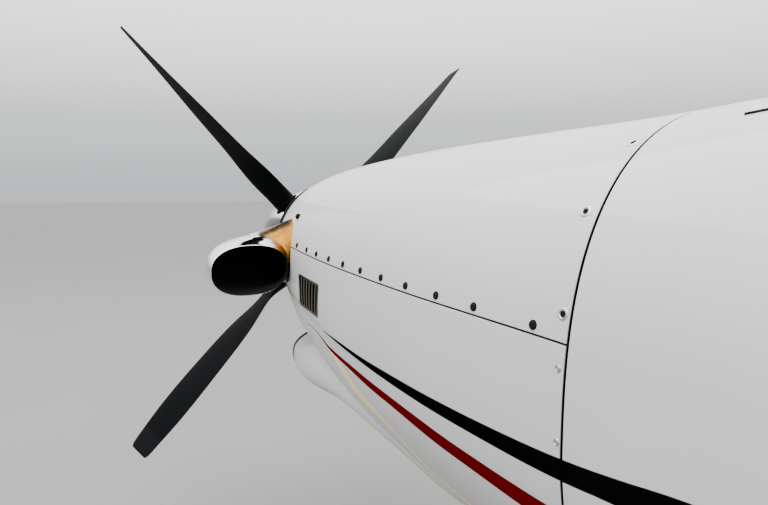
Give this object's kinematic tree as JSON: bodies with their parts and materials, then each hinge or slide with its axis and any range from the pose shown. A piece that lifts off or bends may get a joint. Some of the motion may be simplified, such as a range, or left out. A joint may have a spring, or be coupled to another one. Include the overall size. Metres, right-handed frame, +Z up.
{
  "type": "single-engine turboprop aeroplane",
  "caption": "Low-wing pressurised cabin aeroplane with a nose turbine, feathered black propeller, airstair door and tricycle gear, parked on its wheels.",
  "frame": {"origin": "centre of the base of the bounding box, on the ground under the aeroplane's mid-length", "axes": "+X towards the left wing tip, +Y towards the tail, +Z up"},
  "size_m": [13.11, 9, 3.44],
  "materials": {
    "airframe_paint": "gloss",
    "spinner_metal": "polished",
    "blade_paint": "satin",
    "exhaust_steel": "satin",
    "engine_metal": "matte",
    "leg_paint": "satin",
    "wheel_paint": "satin",
    "tyre_rubber": "matte",
    "window_glass": "gloss",
    "seat_leather": "satin",
    "cabin_trim": "matte"
  },
  "bodies": {
    "airframe": {"cabin_shell": "airframe_paint", "cowl_upper": "airframe_paint", "cowl_lower": "airframe_paint", "chin_intake": "airframe_paint", "exhaust_stack_left": "exhaust_steel", "exhaust_stack_right": "exhaust_steel", "engine_block": "engine_metal", "windshield_left": "window_glass", "windshield_right": "window_glass", "pilot_window_left": "window_glass", "pilot_window_right": "window_glass", "cabin_window_left_1": "window_glass", "cabin_window_left_2": "window_glass", "cabin_window_right_1": "window_glass", "cabin_window_right_2": "window_glass", "cabin_window_right_3": "window_glass", "cabin_floor": "cabin_trim", "instrument_panel": "cabin_trim", "front_seat_left": "seat_leather", "front_seat_right": "seat_leather", "club_seats_aft_facing": "seat_leather", "club_seats_forward_facing": "seat_leather", "wing_left": "airframe_paint", "wing_right": "airframe_paint", "tail_cone": "airframe_paint", "fin": "airframe_paint", "tailplane_left": "airframe_paint", "tailplane_right": "airframe_paint", "main_leg_left": "leg_paint", "main_leg_right": "leg_paint", "main_door_left": "airframe_paint", "main_door_right": "airframe_paint", "nose_leg": "leg_paint", "nose_door_left": "airframe_paint", "nose_door_right": "airframe_paint"},
    "propeller_unit": {"propeller": "blade_paint", "spinner": "spinner_metal"},
    "nose_fork_unit": {"nose_fork": "leg_paint"},
    "nose_wheel": {"nose_rim": "wheel_paint", "nose_tyre": "tyre_rubber"},
    "main_wheel_left": {"main_rim_left": "wheel_paint", "main_tyre_left": "tyre_rubber"},
    "main_wheel_right": {"main_rim_right": "wheel_paint", "main_tyre_right": "tyre_rubber"},
    "aileron_left_unit": {"aileron_left": "airframe_paint"},
    "aileron_right_unit": {"aileron_right": "airframe_paint"},
    "flap_left_unit": {"flap_left": "airframe_paint"},
    "flap_right_unit": {"flap_right": "airframe_paint"},
    "elevator_unit": {"elevator": "airframe_paint"},
    "rudder_unit": {"rudder": "airframe_paint"},
    "door_upper_unit": {"door_upper": "airframe_paint", "door_window": "window_glass"},
    "door_lower_unit": {"door_lower": "airframe_paint"},
    "baggage_door_unit": {"baggage_door": "airframe_paint"}
  },
  "joints": [
    {"name": "propeller_spin", "type": "hinge", "parent": "airframe", "child": "propeller_unit", "pos_m": [0, -4.07, 1.31], "axis": [0, 1, 0], "continuous": true},
    {"name": "nose_steer", "type": "hinge", "parent": "airframe", "child": "nose_fork_unit", "pos_m": [0, -2.59, 0.5], "axis": [0, 0, 1], "range_deg": [-30, 30]},
    {"name": "nose_wheel_spin", "type": "hinge", "parent": "nose_fork_unit", "child": "nose_wheel", "pos_m": [0, -2.565, 0.18], "axis": [1, 0, 0], "continuous": true},
    {"name": "main_wheel_left_spin", "type": "hinge", "parent": "airframe", "child": "main_wheel_left", "pos_m": [1.875, -0.15, 0.222], "axis": [1, 0, 0], "continuous": true},
    {"name": "main_wheel_right_spin", "type": "hinge", "parent": "airframe", "child": "main_wheel_right", "pos_m": [-1.875, -0.15, 0.222], "axis": [1, 0, 0], "continuous": true},
    {"name": "aileron_left_hinge", "type": "hinge", "parent": "airframe", "child": "aileron_left_unit", "pos_m": [3.545, 0.04254, 1.01147], "axis": [0.9953, -0.0451, 0.0857], "range_deg": [-20, 20]},
    {"name": "aileron_right_hinge", "type": "hinge", "parent": "airframe", "child": "aileron_right_unit", "pos_m": [-6.23, -0.0792, 1.24262], "axis": [0.9953, 0.0451, -0.0857], "range_deg": [-20, 20]},
    {"name": "flap_left_hinge", "type": "hinge", "parent": "airframe", "child": "flap_left_unit", "pos_m": [3.48, -0.00535, 0.90802], "axis": [-0.9952, 0.0224, -0.0949], "range_deg": [0, 36]},
    {"name": "flap_right_hinge", "type": "hinge", "parent": "airframe", "child": "flap_right_unit", "pos_m": [-0.76, 0.05597, 0.64869], "axis": [-0.9952, -0.0224, 0.0949], "range_deg": [0, 36]},
    {"name": "elevator_hinge", "type": "hinge", "parent": "airframe", "child": "elevator_unit", "pos_m": [0, 3.94, 1.475], "axis": [1, 0, 0], "range_deg": [-14, 24]},
    {"name": "rudder_hinge", "type": "hinge", "parent": "airframe", "child": "rudder_unit", "pos_m": [0, 4.048, 1.42], "axis": [0, 0.1062, 0.9943], "range_deg": [-26, 26]},
    {"name": "door_upper_hinge", "type": "hinge", "parent": "airframe", "child": "door_upper_unit", "pos_m": [0.31418, 1.27, 1.915], "axis": [0.1621, -0.9868, 0], "range_deg": [0, 85]},
    {"name": "door_lower_hinge", "type": "hinge", "parent": "airframe", "child": "door_lower_unit", "pos_m": [0.53987, 0.65, 0.86], "axis": [-0.1919, 0.9814, 0], "range_deg": [0, 115]},
    {"name": "baggage_door_hinge", "type": "hinge", "parent": "airframe", "child": "baggage_door_unit", "pos_m": [-0.43055, -2.165, 1.57], "axis": [-0.1829, 0.9831, 0], "range_deg": [0, 80]}
  ],
  "couplings": [
    {"joint": "aileron_right_hinge", "follows": "aileron_left_hinge", "ratio": -1},
    {"joint": "flap_right_hinge", "follows": "flap_left_hinge", "ratio": 1}
  ]
}
